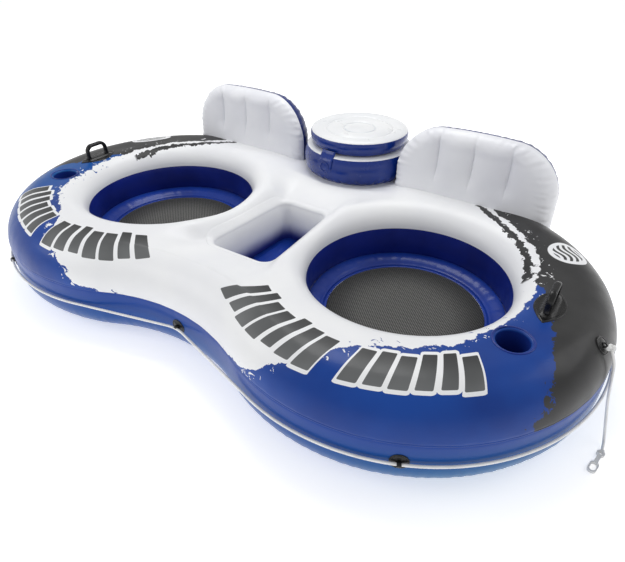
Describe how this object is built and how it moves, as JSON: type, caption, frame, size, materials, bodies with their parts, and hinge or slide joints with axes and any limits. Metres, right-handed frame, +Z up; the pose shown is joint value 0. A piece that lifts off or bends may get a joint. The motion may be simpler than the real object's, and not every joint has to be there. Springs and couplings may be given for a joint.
{
  "type": "towable tube",
  "caption": "Inflatable river lounge for riders side by side: figure-eight hull with mesh seats, backrests, a lidded cooler, storage well, cup wells, handles and a grab rope.",
  "frame": {"origin": "on the ground under the middle of the float, with its rope and guides but without the tail rope and hook", "axes": "+Z up; +X along the float through both seats, to the riders' left; the riders face -Y and the cooler is at +Y"},
  "size_m": [2.4786, 1.57, 0.574],
  "materials": {
    "deck_print": "satin printed vinyl, white with blue and dark grey",
    "hull_blue": "satin blue vinyl",
    "seat_navy": "navy vinyl wall",
    "flange_blue": "lighter blue vinyl flange",
    "seat_mesh": "dark grey woven mesh",
    "white_film": "white vinyl",
    "cup_blue": "blue vinyl cup",
    "cooler_blue": "glossy navy-blue vinyl",
    "cooler_white": "white vinyl",
    "backrest_white": "white vinyl with welded grooves",
    "backrest_navy": "navy vinyl rear panel",
    "black_rubber": "satin black moulded rubber",
    "white_rope": "white braided rope",
    "white_plastic": "white moulded plastic",
    "valve_vinyl": "translucent grey soft vinyl",
    "inner_film": "plain film inside the air chambers"
  },
  "bodies": {
    "float": {"chamber_dividers": "inner_film", "console_webs": "inner_film", "cooler_button": "cooler_blue", "cooler_liner_floor": "cooler_white", "cooler_liner_wall": "cooler_white", "cooler_ring_side": "cooler_blue", "cooler_ring_top": "cooler_white", "cooler_valve_base": "valve_vinyl", "cup_well_left": "cup_blue", "cup_well_right": "cup_blue", "grab_rope": "white_rope", "handle_grip_left": "black_rubber", "handle_grip_right": "black_rubber", "handle_patch_left": "black_rubber", "handle_patch_right": "black_rubber", "hull_bottom_sheet": "hull_blue", "hull_seam_tape": "inner_film", "hull_top_sheet": "deck_print", "hull_valve_left_base": "valve_vinyl", "hull_valve_right_base": "valve_vinyl", "lid_strap_lower": "cooler_blue", "mesh_hem_left": "flange_blue", "mesh_hem_right": "flange_blue", "rope_anchor": "black_rubber", "rope_guides": "black_rubber", "rope_knot": "white_rope", "seat_flange_left": "flange_blue", "seat_flange_right": "flange_blue", "seat_mesh_left": "seat_mesh", "seat_mesh_right": "seat_mesh", "seat_wall_left": "seat_navy", "seat_wall_right": "seat_navy", "snap_hook": "white_plastic", "storage_floor": "flange_blue", "storage_wall": "white_film", "tail_rope": "white_rope"},
    "cooler_lid": {"lid_top_panel": "cooler_white", "lid_side_band": "cooler_blue", "lid_bottom_panel": "cooler_blue", "lid_tie_rings": "inner_film", "lid_strap_upper": "cooler_blue", "lid_valve_base": "valve_vinyl"},
    "lid_tab": {"lid_tab": "cooler_blue", "lid_tab_button": "cooler_blue"},
    "hook_gate": {"snap_hook_gate": "white_plastic"},
    "backrest_left": {"backrest_front_left": "backrest_white", "backrest_rear_left": "backrest_navy", "backrest_ties_left": "inner_film", "backrest_valve_left_base": "valve_vinyl"},
    "backrest_right": {"backrest_front_right": "backrest_white", "backrest_rear_right": "backrest_navy", "backrest_ties_right": "inner_film", "backrest_valve_right_base": "valve_vinyl"},
    "hull_valve_right_cap": {"hull_valve_right_cap": "valve_vinyl"},
    "cooler_valve_cap": {"cooler_valve_cap": "valve_vinyl"},
    "lid_valve_cap": {"lid_valve_cap": "valve_vinyl"},
    "backrest_valve_right_cap": {"backrest_valve_right_cap": "valve_vinyl"},
    "hull_valve_left_cap": {"hull_valve_left_cap": "valve_vinyl"},
    "backrest_valve_left_cap": {"backrest_valve_left_cap": "valve_vinyl"}
  },
  "joints": [
    {"name": "backrest_left_recline", "type": "hinge", "parent": "float", "child": "backrest_left", "pos_m": [-0.5575, 0.47375, 0.25], "axis": [-1, 0, 0], "range_deg": [0, 15], "stiffness_Nm_per_rad": 40},
    {"name": "backrest_right_recline", "type": "hinge", "parent": "float", "child": "backrest_right", "pos_m": [0.5575, 0.47375, 0.25], "axis": [-1, 0, 0], "range_deg": [0, 15], "stiffness_Nm_per_rad": 40},
    {"name": "cooler_lid_hinge", "type": "hinge", "parent": "float", "child": "cooler_lid", "pos_m": [0, 0.70475, 0.414], "axis": [-1, 0, 0], "range_deg": [0, 110]},
    {"name": "lid_tab_hinge", "type": "hinge", "parent": "cooler_lid", "child": "lid_tab", "pos_m": [-0.02253, 0.27843, 0.426], "axis": [-0.9945, 0.1045, 0], "range_deg": [0, 90]},
    {"name": "hook_gate_hinge", "type": "hinge", "parent": "float", "child": "hook_gate", "pos_m": [1.25222, -0.345, 0.005], "axis": [0, 0, -1], "range_deg": [0, 18], "stiffness_Nm_per_rad": 0.02},
    {"name": "backrest_valve_left_cap_hinge", "type": "hinge", "parent": "backrest_left", "child": "backrest_valve_left_cap", "pos_m": [-0.5575, 0.49885, 0.327], "axis": [-1, 0, 0], "range_deg": [0, 110]},
    {"name": "backrest_valve_right_cap_hinge", "type": "hinge", "parent": "backrest_right", "child": "backrest_valve_right_cap", "pos_m": [0.5575, 0.49885, 0.327], "axis": [-1, 0, 0], "range_deg": [0, 110]},
    {"name": "cooler_valve_cap_hinge", "type": "hinge", "parent": "float", "child": "cooler_valve_cap", "pos_m": [0.15755, 0.68051, 0.349], "axis": [-0.766, 0.6428, 0], "range_deg": [0, 110]},
    {"name": "hull_valve_left_cap_hinge", "type": "hinge", "parent": "float", "child": "hull_valve_left_cap", "pos_m": [-0.53479, 0.52415, 0.21493], "axis": [-0.9994, 0.0349, 0], "range_deg": [0, 110]},
    {"name": "hull_valve_right_cap_hinge", "type": "hinge", "parent": "float", "child": "hull_valve_right_cap", "pos_m": [0.53479, 0.52415, 0.21493], "axis": [-0.9994, -0.0349, 0], "range_deg": [0, 110]},
    {"name": "lid_valve_cap_hinge", "type": "hinge", "parent": "cooler_lid", "child": "lid_valve_cap", "pos_m": [-0.14083, 0.66059, 0.434], "axis": [-0.766, -0.6428, 0], "range_deg": [0, 110]}
  ]
}
